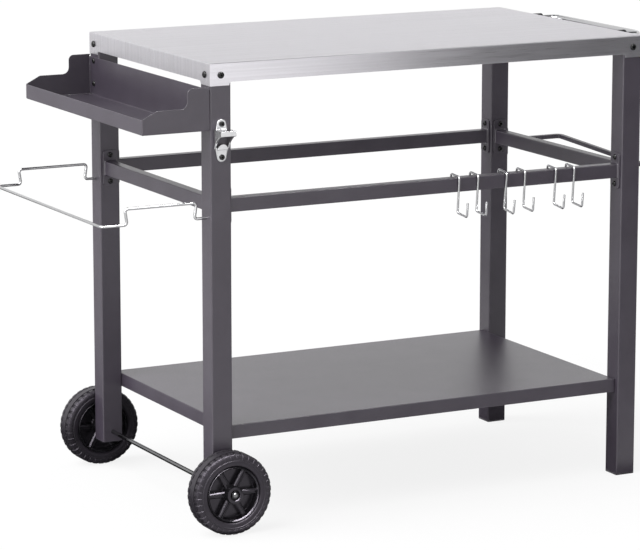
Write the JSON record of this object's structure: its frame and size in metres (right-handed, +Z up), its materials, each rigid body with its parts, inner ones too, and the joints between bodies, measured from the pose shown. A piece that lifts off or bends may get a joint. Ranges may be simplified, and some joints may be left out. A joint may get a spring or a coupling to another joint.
{
  "type": "serving cart",
  "caption": "Outdoor serving cart: folded steel worktop on square-tube legs with a shelf, wheels, spice tray, bag ring, bottle opener, hooks, push handle and towel bar.",
  "frame": {"origin": "on the floor, under the middle of the cart's bounding box", "axes": "+X along the cart from the wheels to the push handle, front at -Y, +Z up"},
  "size_m": [1.1725, 0.598, 0.8],
  "materials": {
    "stainless": "brushed along the cart, satin",
    "frame_coat": "charcoal powder coat, fine texture, satin",
    "bright_wire": "bright chrome plate",
    "cast_chrome": "plated casting, satin",
    "black_plastic": "moulded black, fine grain",
    "tyre_rubber": "black moulded rubber",
    "axle_steel": "zinc-plated, dull",
    "black_screw": "black oxide",
    "nut_steel": "zinc-plated"
  },
  "bodies": {
    "frame": {"worktop": "stainless", "leg_front_left": "frame_coat", "leg_front_right": "frame_coat", "leg_back_left": "frame_coat", "leg_back_right": "frame_coat", "rail_front": "frame_coat", "rail_back": "frame_coat", "rail_left": "frame_coat", "rail_right": "frame_coat", "shelf": "frame_coat", "spice_tray": "frame_coat", "towel_bar": "frame_coat", "push_handle": "bright_wire", "bottle_opener": "cast_chrome", "foot_caps": "black_plastic", "leg_plugs": "black_plastic", "handle_collars": "black_plastic", "axle": "axle_steel", "axle_washers": "axle_steel", "axle_nuts": "axle_steel", "worktop_screws": "black_screw", "rail_screws": "black_screw", "shelf_screws": "black_screw", "tray_screws": "black_screw", "opener_screws": "black_screw", "towel_bar_screws": "black_screw", "handle_screws": "black_screw", "worktop_rivet_nuts": "nut_steel", "frame_rivet_nuts": "nut_steel"},
    "front_wheel": {"front_tyre": "tyre_rubber", "front_hub": "black_plastic"},
    "back_wheel": {"back_tyre": "tyre_rubber", "back_hub": "black_plastic"},
    "bag_ring": {"bag_ring": "bright_wire"},
    "hook_1": {"hook_1": "bright_wire"},
    "hook_2": {"hook_2": "bright_wire"},
    "hook_3": {"hook_3": "bright_wire"},
    "hook_4": {"hook_4": "bright_wire"},
    "hook_5": {"hook_5": "bright_wire"},
    "hook_6": {"hook_6": "bright_wire"}
  },
  "joints": [
    {"name": "front_wheel_spin", "type": "hinge", "parent": "frame", "child": "front_wheel", "pos_m": [-0.37375, -0.274, 0.071], "axis": [0, 1, 0], "continuous": true},
    {"name": "back_wheel_spin", "type": "hinge", "parent": "frame", "child": "back_wheel", "pos_m": [-0.37375, 0.274, 0.071], "axis": [0, 1, 0], "continuous": true},
    {"name": "hook_1_slide", "type": "slide", "parent": "frame", "child": "hook_1", "axis": [1, 0, 0], "range_m": [-0.43375, 0.016]},
    {"name": "hook_2_slide", "type": "slide", "parent": "frame", "child": "hook_2", "axis": [1, 0, 0], "range_m": [-0.016, 0.0255]},
    {"name": "hook_3_slide", "type": "slide", "parent": "frame", "child": "hook_3", "axis": [1, 0, 0], "range_m": [-0.0255, 0.016]},
    {"name": "hook_4_slide", "type": "slide", "parent": "frame", "child": "hook_4", "axis": [1, 0, 0], "range_m": [-0.016, 0.0285]},
    {"name": "hook_5_slide", "type": "slide", "parent": "frame", "child": "hook_5", "axis": [1, 0, 0], "range_m": [-0.0285, 0.016]},
    {"name": "hook_6_slide", "type": "slide", "parent": "frame", "child": "hook_6", "axis": [1, 0, 0], "range_m": [-0.016, 0.08775]},
    {"name": "bag_ring_pull", "type": "slide", "parent": "frame", "child": "bag_ring", "axis": [-1, 0, 0], "range_m": [0, 0.014]}
  ]
}
